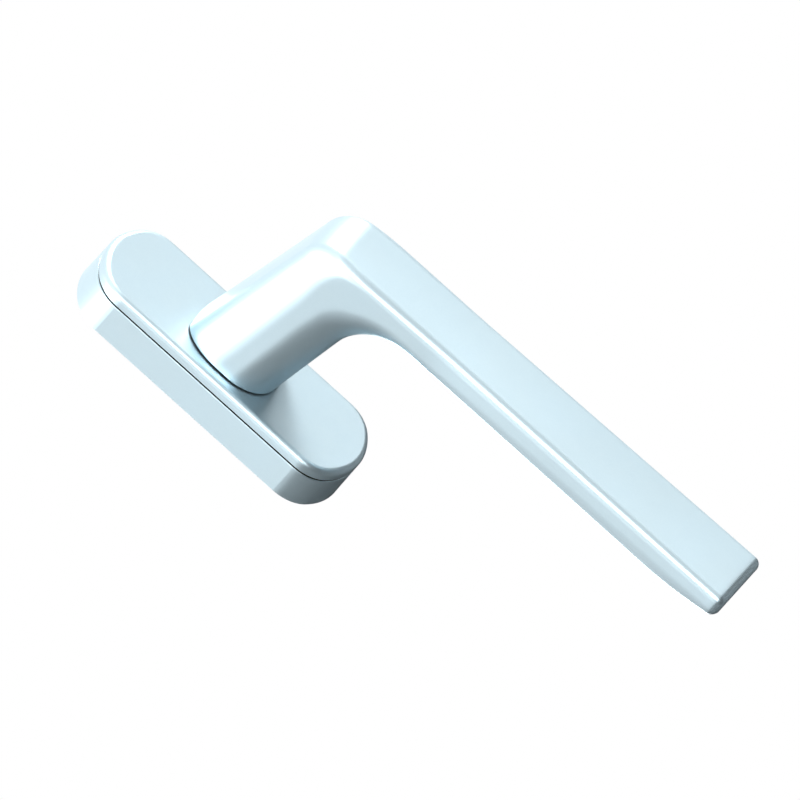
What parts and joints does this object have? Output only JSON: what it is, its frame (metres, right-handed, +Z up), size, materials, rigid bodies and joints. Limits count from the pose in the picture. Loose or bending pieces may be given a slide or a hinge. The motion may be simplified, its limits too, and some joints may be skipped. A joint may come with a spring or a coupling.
{
  "type": "casement door handle",
  "caption": "L-shaped lever handle on an oblong base, turning a square spindle, with a cover plate that swings aside from the fixing screws.",
  "frame": {"origin": "on the spindle axis, in the plane of the base's back face", "axes": "+Y into the door, -Y out of its face, +Z up along the base, with the closed lever pointing to -Z"},
  "size_m": [0.0282, 0.0693, 0.159],
  "materials": {
    "silver_base": "satin silver coating on cast metal",
    "silver_cover": "satin silver coating on cast metal",
    "silver_lever": "satin silver coating on cast metal",
    "zinc_plated_steel": "zinc plated sheet",
    "bush_plastic": "natural acetal",
    "ring_plastic": "black nylon",
    "spring_steel": "dark spring steel",
    "washer_steel": "zinc plated",
    "cam_steel": "sintered steel",
    "spindle_steel": "zinc plated bar",
    "pin_steel": "ground pin",
    "screw_steel": "zinc plated"
  },
  "bodies": {
    "base": {"base_housing": "silver_base", "back_plate": "zinc_plated_steel", "bearing_bush": "bush_plastic", "detent_spring_left": "spring_steel", "detent_spring_right": "spring_steel", "plate_screw_1": "screw_steel", "plate_screw_2": "screw_steel", "plate_screw_3": "screw_steel", "plate_screw_4": "screw_steel"},
    "cover": {"cover_plate": "silver_cover"},
    "handle": {"lever": "silver_lever", "slide_ring": "ring_plastic", "stop_washer": "washer_steel", "detent_cam": "cam_steel", "wave_washer": "spring_steel", "retaining_ring": "spring_steel", "spindle": "spindle_steel", "drive_pin": "pin_steel"}
  },
  "joints": [
    {"name": "handle_turn", "type": "hinge", "parent": "base", "child": "handle", "pos_m": [0, 0, 0], "axis": [0, 1, 0], "range_deg": [-90, 90], "deforming": ["detent_spring_left", "detent_spring_right"]},
    {"name": "cover_turn", "type": "hinge", "parent": "base", "child": "cover", "pos_m": [0, 0, 0], "axis": [0, 1, 0], "range_deg": [-90, 90]}
  ]
}
